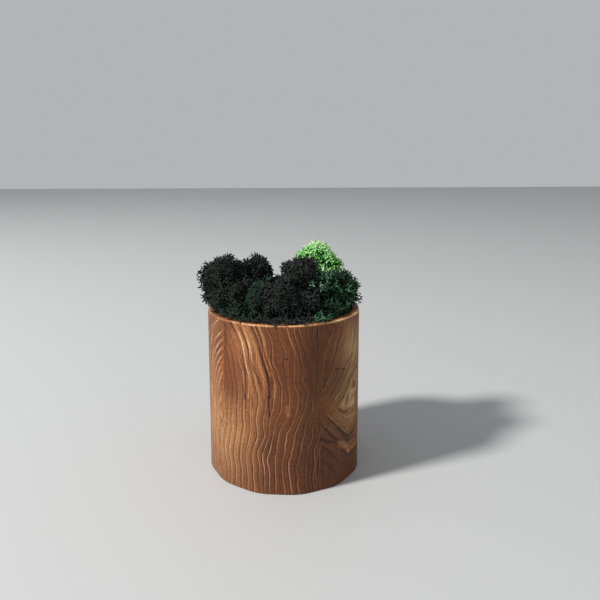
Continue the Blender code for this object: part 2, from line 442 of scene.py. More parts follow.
def dress_cushion(node, seed, fullness, over_rim):
    """The fine moss that stands for one of the model's cushions."""
    rng = random.Random(seed)
    core = cores[node]
    bm = bmesh.new()
    bm.verts.layers.float.new("tip")  # the sprigs bring their own values for this one
    dye_and_depth_shade_layer = bm.verts.layers.float.new("dye_and_depth_shade")
    green_layer = bm.verts.layers.float.new("green")
    # the core's points keep a tip nearness of 0, so the core takes the dark heart colour: painted shade
    bm.from_mesh(core)
    placed = 0
    high = scattered_points(core, SPRIG_SPACING / fullness, rng) + rim_roots(*over_rim, rng)
    low = scattered_points(core, LOW_SPACING, random.Random(seed + LOW_SEED))
    roots = [(*root, 0.0, DEEPEST) for root in high] + [(*root, DEEPEST, DEEPEST) for root in low]
    for point, normal, shallowest, deepest in roots + between[node]:
        tuft = TUFT_STRENGTH * noise.noise(point / TUFT_SIZE) + rng.uniform(-0.5, 0.5)
        stand = min(max(USUAL_STAND * fullness + tuft, 0.0), 1.0) ** TUFT_CURVE
        depth = shallowest + (deepest - shallowest) * (1 - stand)
        kind = rng.randrange(SPRIG_KINDS)
        for _ in range(PLACES_TRIED):
            place = sprig_place(point, normal, depth, rng)
            points = [settled(place @ co) for co in sprig_points[kind]]
            if None not in points:
                break
        else:
            continue
        sprig = sprigs[kind]
        sprig.vertices.foreach_set("co", [x for co in points for x in co])
        before = len(bm.verts)
        bm.from_mesh(sprig)
        bm.verts.ensure_lookup_table()
        lighter, greener = dye_and_shade_at(point)
        for vertex in bm.verts[before:]:
            # deeper sprigs are painted darker, as painted shade; the spots add uneven dye and more painted
            # shade
            vertex[dye_and_depth_shade_layer] = 1.0 - DEEP_PAINTED_SHADE * depth / DEEPEST + lighter
            vertex[green_layer] = greener
        placed += 1
    mesh = mesh_from(bm, node + "_sprigs")
    mesh.calc_loop_triangles()
    print(node, placed, "sprigs,", len(mesh.loop_triangles), "triangles")
    return add_object(node + "_sprigs", mesh)


# the spots hold uneven dye and painted shade
print(len(DYE_AND_SHADE_SPOTS), "spots of dye")

# %% [markdown]
# ## The moss's colours
#
# The real one is Cladonia, a lichen, softened with glycerine and dyed, so it is matt and a little woolly. Its
# colour is painted darkest inside the cushion and lightest at the tips: painted shade for the light that is
# lost among the branchlets. Four colours, the first for the dark heart, which is painted shade too, are
# blended by the stored nearness to a tip times how far the sprig stands out, so sprigs that sit deeper are
# painted darker as well. Dye also takes unevenly: some spots are lighter, darker or greener, and some darker
# spots are painted shade, in the gaps, along the bright cushion's right edge and where the front cushion
# shades the teal one. Patches about 9 mm across vary a little, and a fine grain of about 0.5 mm breaks each
# branchlet up, as its woolly skin does.

# %% Dye and set the cushions
WOOL_GRAIN = 0.5 * MM
DYE_PATCH = 9 * MM
GREENER = (0.6, 1.35, 0.85, 1.0)  # what greener dye leaves of red, green and blue
DYE_AND_SHADE_COLOURS = {  # how well patches take the dye, at least and at most, and its colours from the heart to the tips, darker inwards as painted shade
    "dark_moss": (0.8, 1.1, "#151815", "#222522", "#2d302e", "#313732"),
    "teal_moss": (0.5, 0.85, "#121812", "#1c251d", "#244930", "#7aa485"),
    "bright_moss": (0.7, 1.05, "#0f300d", "#1d5417", "#7ec666", "#eafcd6"),
}


def moss_material(name, least, most, *colours):
    material, tree = new_material(name)
    tip, dye_and_depth_shade, green = (
        add_node(tree, STORED, {}, attribute_name=field).outputs["Fac"] for field in ("tip", "dye_and_depth_shade", "green")
    )
    place = add_node(tree, "ShaderNodeTexCoord", {}).outputs["Object"]
    wool = add_node(tree, NOISE, {"Vector": place, "Scale": 1 / WOOL_GRAIN, "Detail": 2.0})
    patches = add_node(tree, NOISE, {"Vector": place, "Scale": 1 / DYE_PATCH, "Detail": 1.0})
    level = add_node(tree, MATH, (tip, dye_and_depth_shade), operation="MULTIPLY")
    for span in ((wool, 0.3, 0.7, 0.6, 1.25), (patches, 0.38, 0.6, least, most)):
        level = add_node(tree, MATH, (level, add_node(tree, RANGE, span)), operation="MULTIPLY")
    ramp = add_node(tree, RAMP, {"Fac": level})
    stops = ramp.color_ramp.elements
    for stop, colour in zip((0.02, 0.12, 0.5, 0.95), colours):
        stops.new(stop).color = linear(colour)
    stops.remove(stops[0])
    stops.remove(stops[-1])
    tint = {"Factor": green, "A": ramp, "B": GREENER}
    tinted = add_node(tree, MIX, tint, data_type="RGBA", blend_type="MULTIPLY")
    skin = add_node(tree, BUMP, {"Height": wool, "Strength": 0.5, "Distance": 0.2 * MM})
    shader = add_node(
        tree, SHADER, {"Base Color": tinted, "Normal": skin, "Roughness": 0.9, "Specular IOR Level": 0.2}
    )
    add_node(tree, OUTPUT, {"Surface": shader})
    return material


moss_finishes = {name: moss_material(name, *dye_and_shade) for name, dye_and_shade in DYE_AND_SHADE_COLOURS.items()}
for seed, (node, (finish, fullness, over_rim)) in enumerate(MOSSES.items()):
    cushion = dress_cushion(node, seed, fullness, over_rim)
    cushion.data.materials.append(moss_finishes[finish])
    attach(cushion, "root")
    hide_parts(node)

# %% [markdown]
# ## The pot
#
# The real pot is turned from one block of hardwood and then faced off a little by hand, so its outside isn't
# quite round: twelve shallow flats run down it, about half a millimetre deep. A primitive cylinder would have
# no wall and no soft edges, so the pot is made as a turner does: half of its section is drawn, the corners
# are rounded, and the section is spun round the axis, in finer steps over the front half than behind. The
# side gets rows and columns about half a millimetre apart, because the next step stores the wood's rings at
# its points.

# %% Turn the pot
POT_RADIUS = 40.0 * MM
WALL = 4.0 * MM
FLOOR_THICKNESS = 9.0 * MM
RIM_ROUND = 0.8 * MM
INNER_ROUND = 0.3 * MM
FOOT_ROUND = 0.4 * MM
FLATS = 12
FLAT_SWING = POT_RADIUS / FLATS**2  # in and out from the round
FLAT_TURN = math.radians(-109)
HALF_TURNS = (310, 150)  # steps over the front half, then over the back half
ROW_HEIGHT = 0.54 * MM
LONG_EDGE = 6 * MM
FINE_FROM = foam_high.z - 2 * MM  # the wall's inside has fine rows from this height up
TINY = 0.01 * MM


def turned_pot():
    bm = bmesh.new()
    inside = POT_RADIUS - WALL
    section = [
        (0.0, FLOOR_THICKNESS),
        (inside, FLOOR_THICKNESS),
        (inside, FINE_FROM),
        (inside, RIM),
        (POT_RADIUS, RIM),
        (POT_RADIUS, 0.0),
        (0.0, 0.0),
    ]
    points = [bm.verts.new((-radius, 0.0, height)) for radius, height in section]
    for pair in zip(points, points[1:]):
        bm.edges.new(pair)
    for corner, width in ((3, INNER_ROUND), (4, RIM_ROUND), (5, FOOT_ROUND)):
        place = Vector((-section[corner][0], 0.0, section[corner][1]))
        sharp = min(bm.verts, key=lambda vertex: (vertex.co - place).length)
        bmesh.ops.bevel(
            bm, geom=[sharp], offset=width, segments=4, profile=0.5, affect="VERTICES", material=-1
        )
    print("section:", len(bm.verts), "points")
    outline = bm.verts[:] + bm.edges[:]
    for steps in HALF_TURNS:
        outline = bmesh.ops.spin(
            bm, geom=outline, axis=(0.0, 0.0, 1.0), cent=(0.0, 0.0, 0.0), angle=math.pi, steps=steps
        )["geom_last"]
    bmesh.ops.remove_doubles(bm, verts=bm.verts[:], dist=1e-6)
    long_edges = [edge for edge in bm.edges if edge.calc_length() > LONG_EDGE]
    for away, over in ((POT_RADIUS, 0.0), (inside, FINE_FROM - TINY)):
        rising = [
            edge
            for edge in long_edges
            if all(abs(vertex.co.xy.length - away) < TINY and vertex.co.z > over for vertex in edge.verts)
        ]
        bmesh.ops.subdivide_edges(bm, edges=rising, cuts=int(rising[0].calc_length() / ROW_HEIGHT))
    for vertex in bm.verts:
        across = math.hypot(vertex.co.x, vertex.co.y)
        outer = min(max((across - inside) / (WALL - RIM_ROUND), 0.0), 1.0)
        if outer > 0:
            angle = math.atan2(vertex.co.y, vertex.co.x)
            grown = 1 + outer * FLAT_SWING * math.cos(FLATS * (angle - FLAT_TURN)) / POT_RADIUS
            vertex.co.x *= grown
            vertex.co.y *= grown
    bmesh.ops.recalc_face_normals(bm, faces=bm.faces[:])
    mesh = mesh_from(bm, "turned_pot")
    mesh.shade_smooth()
    return mesh


pot_mesh = turned_pot()
pot = add_object("turned_pot", pot_mesh)
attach(pot, "root")
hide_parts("pot")
pot_mesh.calc_loop_triangles()
print("pot:", len(pot_mesh.loop_triangles), "triangles")

# %% [markdown]
# ## The block's growth rings
#
# A wood pattern looks right when it runs through the block, so that a line on the side turns the corner onto
# the rim. Wave and ring textures make straight or round figure only, but this block comes from near a crotch,
# where the rings swing round a feather on the left and pinch together in a saddle on the right. So the rings
# are a height field in space, like a map's contour lines: each guide line below says where one ring crosses
# the side, by angle from +X in degrees and height in millimetres. Between the guides a soft spline in 3-D
# fills in, so the figure has no seam at the back. Every point of the mesh stores its ring number, and how
# many millimetres apart the rings lie there, so that the shader can draw lines of an even width.

# %% Lay out the rings
RING_GUIDES = [
    (-2, [(-139, 84), (-154, 81), (-160, 77), (-167, 71)]),
    (-3, [(-138, 80), (-151, 74), (-159, 70), (-163, 62), (-165, 46), (-164, 26), (-164, 2)]),
    (-4, [(-138, 72), (-149, 65), (-155, 55), (-158, 44), (-159, 26), (-160, 2)]),
    (-5, [(-138, 63), (-148, 56), (-152, 44), (-154, 31), (-155, 2)]),
    (-6, [(-138, 54), (-143, 44), (-148, 35), (-150, 24), (-152, 2)]),
    (-6.3, [(-145, 36), (-146, 2)]),
    (-6, [(-137, 51), (-139, 36), (-142, 16), (-142, 2)]),
    (-5, [(-136, 61), (-134, 48), (-135, 31), (-138, 17), (-136, 2)]),
    (-4, [(-135, 70), (-132, 61), (-130, 48), (-131, 34), (-134, 17), (-132, 2)]),
    (-3, [(-135, 77), (-129, 69), (-126, 58), (-125, 41), (-128, 24), (-129, 17), (-128, 2)]),
    (-2, [(-133, 82), (-126, 72), (-120, 61), (-120, 46), (-120, 31), (-123, 18), (-122, 2)]),
    (-1, [(-129, 84), (-123, 76), (-119, 66), (-114, 55), (-114, 36), (-118, 20), (-117, 2)]),
    (0, [(-119, 84), (-115, 75), (-114, 66), (-110, 56), (-110, 38), (-111, 26), (-114, 18), (-112, 2)]),
    (1, [(-114, 84), (-110, 76), (-109, 65), (-104, 56), (-103, 44), (-104, 30), (-108, 16), (-107, 2)]),
    (2, [(-107, 84), (-104, 75), (-97, 56), (-98, 44), (-101, 31), (-105, 16), (-104, 2)]),
    (3, [(-102, 84), (-98, 70), (-92, 56), (-95, 40), (-99, 28), (-103, 17), (-101, 2)]),
    (4, [(-95, 84), (-90, 74), (-89, 61), (-88, 41), (-93, 34), (-95, 24), (-97, 16), (-96, 2)]),
    (5, [(-88, 84), (-83, 72), (-83, 56), (-82, 42), (-86, 34), (-90, 20), (-90, 2)]),
    (6, [(-83, 84), (-79, 71), (-77, 58), (-78, 41), (-83, 32), (-87, 17), (-85, 2)]),
    (7, [(-80, 84), (-74, 70), (-70, 61), (-69, 52), (-70, 42), (-77, 30), (-81, 16), (-80, 2)]),
    (8, [(-73, 84), (-69, 67), (-67, 54), (-66, 43), (-71, 27), (-74, 15), (-74, 2)]),
    (9, [(-69, 84), (-68, 66), (-66, 50), (-65, 42), (-65, 27), (-68, 14), (-67, 2)]),
    (10, [(-65, 84), (-65, 68), (-65, 54), (-61, 50), (-57, 54), (-51, 63), (-46, 71), (-40, 80)]),
    (11, [(-60, 84), (-61, 74), (-62, 62), (-60, 67), (-56, 76), (-51, 85)]),
    (9, [(-62, 43), (-55, 49), (-46, 58), (-40, 66), (-34, 76), (-31, 84)]),
    (9, [(-62, 38), (-50, 26), (-42, 22), (-35, 20), (-27, 22), (-19, 24)]),
    (8, [(-58, 42), (-50, 48), (-43, 52), (-34, 59), (-27, 71)]),
    (8, [(-56, 38), (-43, 29), (-35, 24), (-26, 26), (-17, 28)]),
    (7, [(-50, 42), (-39, 48), (-32, 51), (-25, 56)]),
    (7, [(-46, 40), (-40, 38), (-34, 38), (-27, 42), (-20, 44)]),
    (10, [(-63, 27), (-52, 24), (-45, 20), (-35, 12), (-28, 15), (-19, 17)]),
    (10, [(-64, 21), (-65, 11), (-64, 2)]),
    (11, [(-60, 20), (-52, 16), (-43, 10), (-35, 6), (-25, 8)]),
    (11, [(-61, 8), (-60, 2)]),
    (12, [(-56, 11), (-48, 3)]),
    # plain curved figure round the back
    (0.0, [(180, 5)]), (0.5, [(180, 43)]), (1.5, [(180, 80)]),
    (4.5, [(150, 5)]), (5.0, [(150, 43)]), (6.0, [(150, 80)]),
    (9.5, [(120, 5)]), (9.5, [(120, 43)]), (10.0, [(120, 80)]),
    (13.5, [(90, 5)]), (12.5, [(90, 43)]), (12.5, [(90, 80)]),
    (15.5, [(60, 5)]), (13.0, [(60, 43)]), (11.0, [(60, 80)]),
    (14.5, [(30, 5)]), (11.0, [(30, 43)]), (8.0, [(30, 80)]),
    (12.5, [(0, 5)]), (8.4, [(0, 43)]), (5.5, [(0, 80)]),
]
GUIDE_SOFTNESS = 2.0
GUIDE_LOOSENESS = 0.3
WIDEST_GAP = 25.0  # in mm, also where the rings turn
PARTS = 40  # the points are worked through in parts, to save memory


def on_side(degrees, height):
    angle = math.radians(degrees)
    across = POT_RADIUS / MM
    return (across * math.cos(angle), across * math.sin(angle), height)


def ring_spline():
    """Weights for a soft spline through the guides: one for each guide point, then a level and a slope."""
    places = np.array([on_side(*point) for _, line in RING_GUIDES for point in line])
    numbers = np.array([ring for ring, line in RING_GUIDES for _ in line], dtype=float)
    count = len(places)
    system = np.zeros((count + 4, count + 4))
    spread = np.sqrt(((places[:, None] - places[None]) ** 2).sum(axis=2) + GUIDE_SOFTNESS**2)
    system[:count, :count] = spread - np.eye(count) * GUIDE_LOOSENESS
    system[:count, count] = system[count, :count] = 1.0
    system[:count, count + 1 :] = places
    system[count + 1 :, :count] = places.T
    solved = np.linalg.solve(system, np.append(numbers, np.zeros(4)))
    return places, solved[:count], solved[count], solved[count + 1 :]


def points_of(mesh, kind="vertices", field="co"):
    values = np.empty(len(mesh.vertices) * 3)
    getattr(mesh, kind).foreach_get(field, values)
    return values.reshape(-1, 3)


def store(mesh, name, values):
    layer = mesh.attributes.new(name, "FLOAT", "POINT")
    layer.data.foreach_set("value", np.asarray(values, dtype=np.float32))


def ring_numbers(points, normals):
    """The ring number at each point, and the distance between rings along the surface there."""
    places, weights, level, slope = ring_spline()
    numbers, gaps = [], []
    for part, normal in zip(np.array_split(points, PARTS), np.array_split(normals, PARTS)):
        apart = (part**2).sum(axis=1)[:, None] + (places**2).sum(axis=1) - 2 * part @ places.T
        spread = np.sqrt(np.maximum(apart, 0) + GUIDE_SOFTNESS**2)
        numbers.append(spread @ weights + level + part @ slope)
        pull = weights / spread
        climb = part * pull.sum(axis=1)[:, None] - pull @ places + slope
        climb -= (climb * normal).sum(axis=1)[:, None] * normal
        gaps.append(1 / np.maximum(np.linalg.norm(climb, axis=1), 1 / WIDEST_GAP))
    return np.concatenate(numbers), np.concatenate(gaps)


side_points = points_of(pot_mesh) / MM
ring, ring_gap = ring_numbers(side_points, points_of(pot_mesh, "vertex_normals", "vector"))
store(pot_mesh, "ring", ring)
store(pot_mesh, "ring_gap", ring_gap)
print("rings", round(ring.min(), 1), "to", round(ring.max(), 1))
print("the middle gap between rings is", round(float(np.median(ring_gap)), 1), "mm")

# %% [markdown]
# ## Heart, sapwood and bolder lines
#
# One block holds several tones: a dark red heart, lighter wood on the left, an olive cast in the V-shaped
# figure and a pale strip of sapwood. Its lines change too: they are crisp low in the middle, close on the
# left and almost lost on the right. Painting a picture would fix one view only, so each of these is a soft
# field over the whole side: a usual value, and round patches where it is more or less. Some lines are bolder
# than their neighbours, such as the dark ones in the V's and the golden stripe beside them, finer streaks run
# into the V, and there are a few short dark checks. Those are strokes that follow the rings and taper from
# one width to another. The rays that run down from the feather's seam fade as they go. The seam itself is
# darker and redder, and a painted highlight runs along the rim's outer edge, where the light catches its
# rounding, weakest at the left.

# %% Soft fields over the side
FIELDS = {  # for each, its usual value, and patches of (angle, height, reach in mm, what is added there)
    "shade": (0.42, [  # from 0, dark, to 1, light
        (-160, 28, 26, 0.17), (-160, 76, 14, 0.04), (-148, 58, 8, 0.04), (-132, 60, 14, 0.02),
        (-48, 38, 6, 0.05), (-118, 74, 9, 0.22), (-111, 60, 8, 0.21), (-110, 46, 8, 0.12),
        (-131, 52, 7, -0.05), (-130, 25, 22, 0.13), (-88, 66, 20, -0.05), (-88, 15, 20, -0.11),
        (-60, 70, 14, -0.06), (-48, 8, 14, -0.07), (-32, 70, 13, 0.37), (-32, 37, 12, 0.3),
        (-22, 48, 12, 0.05), (-122, 28, 6, 0.07), (-101, 27, 5, -0.08), (-162, 25, 8, 0.05),
        (-125, 80, 7, 0.10), (-36, 80, 6, 0.06), (-53, 45, 7, 0.09), (-88, 66, 16, 0.04), (8, 50, 24, 0.14),
        (95, 50, 30, -0.08), (165, 60, 20, 0.06),
    ]),
    "cast": (-0.4, [  # from -1.2, reddish, to 1.2, yellowish
        (-160, 28, 26, 0.7), (-160, 76, 14, 0.5), (-132, 60, 14, -0.7), (-118, 74, 9, 0.3),
        (-111, 60, 9, 0.4), (-130, 25, 22, 0.4), (-88, 60, 20, -0.6), (-88, 15, 20, -0.4),
        (-60, 70, 14, 0.1), (-48, 8, 14, -0.3), (-32, 70, 13, 1.3), (-32, 37, 13, 1.7), (-50, 50, 11, 0.8),
        (8, 50, 24, 1.0), (95, 50, 30, -0.4), (165, 60, 20, 0.4),
    ]),
    "pale_lines": (0.42, [  # how strongly the pale line of each ring shows
        (-61.3, 52, 4.5, -0.4), (-59, 8, 5, -0.3), (-56, 66, 18, -0.6), (-48, 8, 13, -0.4),
        (-60, 28, 6, -0.4), (-88, 18, 20, 0.12), (-150, 64, 14, 0.68), (-30, 60, 14, -0.2),
        (-133, 62, 6, -0.5), (-132, 50, 6, -0.4), (-124, 62, 8, 0.15), (-104, 60, 10, -0.35),
        (-140, 18, 24, 0.4), (-105, 23, 2.5, -0.5), (-105, 8, 3, -0.5), (-146, 28, 8, -0.6),
        (-146, 8, 8, -0.6), (-141, 80, 6, -0.9), (-141, 70, 9, -1.5), (-141, 55, 8, -1.2),
        (-58, 42, 5, -0.5), (-61, 57, 6, -0.6), (0, 72, 18, -0.5), (30, 40, 30, -0.25), (-158, 20, 14, 0.5),
    ]),
    "dark_lines": (0.8, [  # how strongly the dark line beside it shows
        (-110, 62, 14, 0.6), (-140, 18, 24, 0.9), (-88, 66, 14, 0.2), (-60, 68, 15, -0.7),
        (-60, 28, 6, -0.5), (-133, 60, 6, -0.4), (-124, 62, 9, 0.5), (-150, 64, 12, 0.3),
        (-146, 28, 8, -1.0), (-146, 8, 8, -1.0), (-105, 23, 3, 0.4), (-105, 8, 3, 0.4), (-141, 70, 9, -0.8),
        (-141, 54, 8, -0.6), (-158, 20, 14, 0.5), (-58, 42, 5, -0.6), (-61, 57, 6, -0.8),
        (-60, 66, 6, -0.5), (-61.3, 52, 4.5, -0.4), (-36, 47, 7, -0.8), (0, 72, 18, -0.6),
        (30, 40, 30, -0.25),
    ]),
    "stripes": (0.55, [  # how strongly the fine stripes between the rings show
        (-113, 62, 14, 0.7), (-135, 25, 24, 0.6), (-38, 54, 16, 1.1), (-48, 8, 13, -0.2),
        (-131, 56, 8, -0.3), (-57, 42, 5, -0.6), (-61, 57, 6, -0.4), (-60, 66, 6, -0.5),
    ]),
    "half_rings": (0.0, [  # how strongly lines show halfway between the rings
        (-150, 62, 13, 0.7), (-132, 15, 20, 0.3), (-160, 15, 12, 0.4), (-105, 20, 9, -0.5),
        (-118, 58, 12, 0.8), (-38, 52, 14, 0.8), (-36, 46, 7, -0.9), (-34, 28, 10, 0.5),
        (-146, 28, 8, -1.0), (-146, 8, 8, -1.0), (-141, 68, 9, -1.0), (-141, 54, 9, -1.0),
        (-88, 62, 13, 0.5),
    ]),
}


def in_patch(points, degrees, height, reach):
    """1 at a place on the side, and softly less away from it."""
    return np.exp(-((points - np.array(on_side(degrees, height))) ** 2).sum(axis=1) / reach**2)


fields = {}
for name, (usual, patches) in FIELDS.items():
    fields[name] = usual + sum(amount * in_patch(side_points, *patch) for *patch, amount in patches)
print(len(fields), "fields from", sum(len(patches) for _, patches in FIELDS.values()), "patches")

# %% Bolder strokes
STROKES = [  # half widths at the ends in mm, lighter, then angle and height along it
    (0.45, 0.35, -0.42, [(-130.5, 84.8), (-126.3, 80.8), (-123, 76.2), (-120.5, 71.8), (-119.3, 67.2),
        (-118.2, 62.5), (-118, 57.5), (-118.5, 52.2), (-119, 47.5)]),
    (0.5, 0.4, 0.24, [(-128.5, 85.5), (-123.2, 80.5), (-120.2, 75.8), (-119, 70.8), (-118.2, 66.5),
        (-115.8, 60.2), (-115.2, 54.8), (-115.8, 48.5)]),
    (0.45, 0.35, -0.4, [(-122.2, 83), (-118.2, 77.8), (-115.5, 72.8), (-114.2, 67.8), (-112, 63.5),
        (-109, 60.2), (-107.3, 56.5)]),
    (0.6, 0.4, 0.16, [(-120.5, 84.5), (-116.2, 79), (-113.8, 72.8), (-112.2, 68), (-109.8, 64.8),
        (-107.5, 60.5)]),
    (1.0, 0.7, 0.18, [(-115.8, 83.8), (-111, 76.5), (-108.2, 69.2), (-105, 61.5), (-104, 55.8),
        (-103.8, 49.8)]),
    (0.45, 0.5, -0.46, [(-112.8, 84.5), (-110.2, 81.5), (-107.8, 76.8), (-106.2, 71.5), (-104, 67),
        (-101.8, 61.8), (-100.5, 55.8), (-100, 49.8)]),
    (0.45, 0.5, 0.28, [(-110.8, 84.5), (-107.3, 79.8), (-105.5, 75), (-103.8, 70), (-101.5, 65.2),
        (-99.5, 60.8)]),
    (0.45, 0.45, -0.42, [(-109.8, 84.8), (-106.2, 79.8), (-104.8, 75), (-103, 70), (-100.5, 64.8),
        (-98.5, 60), (-97.8, 57)]),
    (0.8, 0.9, 0.26, [(-106.8, 84), (-104, 79), (-103, 72.5), (-100.5, 66.2), (-97.8, 60.5), (-96.2, 56),
        (-97, 50.5)]),
    (0.5, 0.4, -0.16, [(-135.8, 83.8), (-135.8, 75.2), (-136.2, 66.5), (-136.8, 57.5), (-137.2, 49.2)]),
    (0.5, 0.3, -0.25, [(-118.7, 49.8), (-118.2, 46.2), (-118.5, 42.8)]),
    (0.5, 0.3, -0.25, [(-113, 49.5), (-112.5, 46.8), (-112.2, 43.5)]),
    (0.6, 0.4, -0.35, [(-101.2, 50), (-100.8, 45.5), (-100.5, 40.2)]),
    (0.4, 0.3, 0.26, [(-88, 84), (-85.2, 78.2), (-82.5, 72.8), (-80.5, 66.8), (-79.2, 64.2)]),
    (0.3, 0.3, 0.12, [(-79.8, 83.8), (-76.2, 77.8), (-73.5, 72.2), (-72, 67.2), (-69, 62), (-68, 58)]),
    (0.4, 0.3, -0.16, [(-66.5, 82.5), (-66, 72.8), (-66.8, 61.8), (-67.5, 50.2)]),
    (0.4, 0.4, 0.18, [(-52, 83.5), (-54.8, 78.5), (-59, 73), (-60.5, 67), (-61.8, 60.2)]),
    (0.5, 0.3, -0.11, [(-45.8, 81.2), (-48.8, 74), (-53.5, 66.2), (-58.8, 57.8), (-62.8, 49.2)]),
    (0.35, 0.3, 0.1, [(-40, 72.8), (-46.8, 68.2), (-52.5, 62.5), (-57, 57.5), (-60.3, 52)]),
    (0.5, 0.4, -0.2, [(-29, 66), (-40.8, 61), (-49.5, 54.2), (-56, 47.8)]),
    (0.45, 0.4, 0.2, [(-14.5, 59.8), (-32.2, 57.2), (-43, 52), (-51.2, 45.8)]),
    (0.4, 0.9, -0.33, [(-59, 38), (-54.2, 34.2), (-48.8, 30.8), (-42.2, 26.5), (-35.5, 23.2)]),
    (0.6, 0.4, -0.4, [(-34.8, 22.8), (-26.8, 23), (-15, 27.5), (0, 32), (14, 34)]),
    (0.4, 0.4, 0.24, [(-57.5, 38.5), (-48.8, 32.2), (-37.8, 25.5), (-34.2, 24.2), (-25.8, 25.2), (-15, 31)]),
    (0.3, 0.5, -0.42, [(-64.8, 36), (-60.5, 32.2), (-56.2, 28.5), (-50.8, 25.2), (-43.2, 22.5)]),
    (0.5, 0.4, -0.42, [(-49.8, 30), (-42, 24.5), (-34.8, 20.2), (-25.2, 20.2), (-15, 25), (0, 28)]),
    (0.8, 0.6, -0.3, [(-63.5, 27), (-59.5, 25.5), (-51, 23.2)]),
    (0.5, 0.4, -0.4, [(-50.8, 23), (-44.5, 18.2), (-34.8, 12), (-24.8, 12), (-15, 17), (0, 20), (12, 21)]),
    (2.1, 0.8, 0.3, [(-46, 21.4), (-37.2, 17.4), (-34, 13.2)]),
    (1.2, 1.0, 0.3, [(-33.5, 14.8), (-22.2, 15.5), (-15, 21), (-2, 25)]),
    (0.6, 0.45, -0.2, [(-62.8, 23.2), (-57.2, 19.8), (-50.8, 15.5), (-47, 10.2)]),
    (0.6, 0.45, -0.16, [(-63.2, 16), (-57.2, 12.5), (-51.8, 8.2), (-49.5, 3.2)]),
    (1.1, 0.6, -0.17, [(-47.2, 39.5), (-41.8, 37), (-35.5, 36.8), (-32.2, 37.2)]),
    (0.5, 0.3, -0.4, [(-51, 61.2), (-46.5, 60.5), (-40.8, 59.5)]),
    (0.5, 0.3, -0.35, [(-89.5, 69.5), (-87.5, 69)]),
    (1.4, 0.8, 0.22, [(-88, 45), (-87.5, 41)]),
    (1.2, 1.1, 0.2, [(-35.5, 17.5), (-32.5, 17.5), (-25.8, 19), (-19, 25)]),
    (0.45, 0.6, 0.22, [(-65.2, 23.2), (-66.2, 18.5), (-67.2, 14.8), (-67.5, 11),
        (-66.8, 7.2), (-66, 5)]),
    (0.4, 0.5, -0.14, [(-63.5, 23), (-64.5, 18), (-65.5, 14), (-65.8, 9.2)]),
    # fine streaks that run into the V from the right
    (0.35, 0.3, 0.22, [(-18, 47.5), (-30, 45.5), (-37.5, 43), (-43.8, 40.8)]),
    (0.3, 0.3, -0.26, [(-17.2, 44), (-28.2, 43), (-34.8, 40.2), (-38.8, 38.5)]),
    (0.35, 0.3, 0.22, [(-17, 41.5), (-25.8, 40.2), (-32.2, 37.8), (-36.8, 36)]),
    (0.3, 0.3, -0.22, [(-17.2, 38.2), (-25.8, 36.8), (-31.3, 34)]),
    (0.35, 0.35, 0.2, [(-16.8, 34), (-25.5, 32.2), (-31.3, 29.8), (-36.5, 26.2)]),
    (0.35, 0.4, -0.3, [(-16.2, 28.2), (-23.8, 26.2), (-31, 24.2)]),
    # a soft pale patch low on the left
    (1.4, 0.9, 0.12, [(-162, 46.5), (-158.5, 41.5), (-155, 36.5)]),
]


def in_stroke(points, first_width, last_width, line):
    """1 along a line of straight pieces, with a soft edge; the half width goes from the first to the last."""
    corners = np.array([on_side(*point) for point in line])
    inside = np.zeros(len(points))
    for piece, (start, end) in enumerate(zip(corners, corners[1:])):
        along = end - start
        share = np.clip((points - start) @ along / (along @ along), 0, 1)
        width = first_width + (last_width - first_width) * (piece + share) / (len(line) - 1)
        apart = np.linalg.norm(points - start - share[:, None] * along, axis=1)
        inside = np.maximum(inside, np.exp(-((apart / width) ** 4)))
    return inside


for first_width, last_width, lighter, line in STROKES:
    fields["shade"] += lighter * in_stroke(side_points, first_width, last_width, line)
print(len(STROKES), "strokes")

# %% Rays from the feather's seam
RAY_WIDTH = 0.38  # half of it, in mm
RAY_FADE = 0.7
RAYS = [  # how much lighter, then angle and height along it
    (0.5, [(-143.8, 84.5), (-150, 82.2), (-153.2, 79.5), (-157, 75.8), (-160.5, 69), (-162.5, 60),
        (-163, 50)]),
    (0.5, [(-138, 80), (-143.5, 77.2), (-149.8, 74.2), (-153.5, 70.5), (-157, 65), (-160, 57),
        (-161.3, 48), (-161.5, 38)]),
    (0.44, [(-138, 75.8), (-143.5, 72.5), (-149.2, 69.2), (-154.2, 65.2), (-157.2, 59), (-158.8, 50),
        (-159.2, 40)]),
    (0.44, [(-138.2, 71.8), (-143.5, 68.8), (-148.3, 65.2), (-151.8, 61.5), (-154.6, 55.5), (-156.2, 47),
        (-156.8, 38), (-156.8, 30)]),
    (0.38, [(-138.5, 67.8), (-143, 64.8), (-147.8, 61), (-151.5, 56.2), (-153.6, 49.5), (-154.2, 42),
        (-153.8, 34)]),
    (0.36, [(-138.8, 63.8), (-142.2, 60.8), (-146.2, 56.8), (-150, 51.8), (-151.8, 45), (-152, 38),
        (-151.5, 30)]),
    (0.36, [(-139, 58.8), (-142.2, 55.5), (-145.8, 51), (-148.8, 45.5), (-150, 40), (-150, 33)]),
    (0.34, [(-138.8, 51), (-141.2, 46.8), (-144.2, 42.5), (-146.5, 37.5), (-148, 31.2), (-148, 26)]),
    (-0.28, [(-138.5, 77.8), (-143.5, 74.8), (-149.5, 71.6), (-153.8, 67.6), (-157, 61)]),
    (-0.28, [(-138.5, 73.8), (-143.5, 70.6), (-148.8, 67.2), (-153, 63.2), (-156, 56)]),
    (-0.26, [(-138.5, 69.8), (-143.2, 66.8), (-148, 63.1), (-151.6, 58.8), (-154, 52)]),
    (-0.26, [(-138.7, 65.8), (-142.6, 62.8), (-147, 58.9), (-150.8, 54), (-152.8, 47)]),
]
for lighter, line in RAYS:
    top, bottom = line[0][1], line[-1][1]
    unfaded = np.clip((side_points[:, 2] - bottom) / (top - bottom), 0, 1) ** RAY_FADE
    fields["shade"] += lighter * unfaded * in_stroke(side_points, RAY_WIDTH, RAY_WIDTH, line)
print(len(RAYS), "rays")

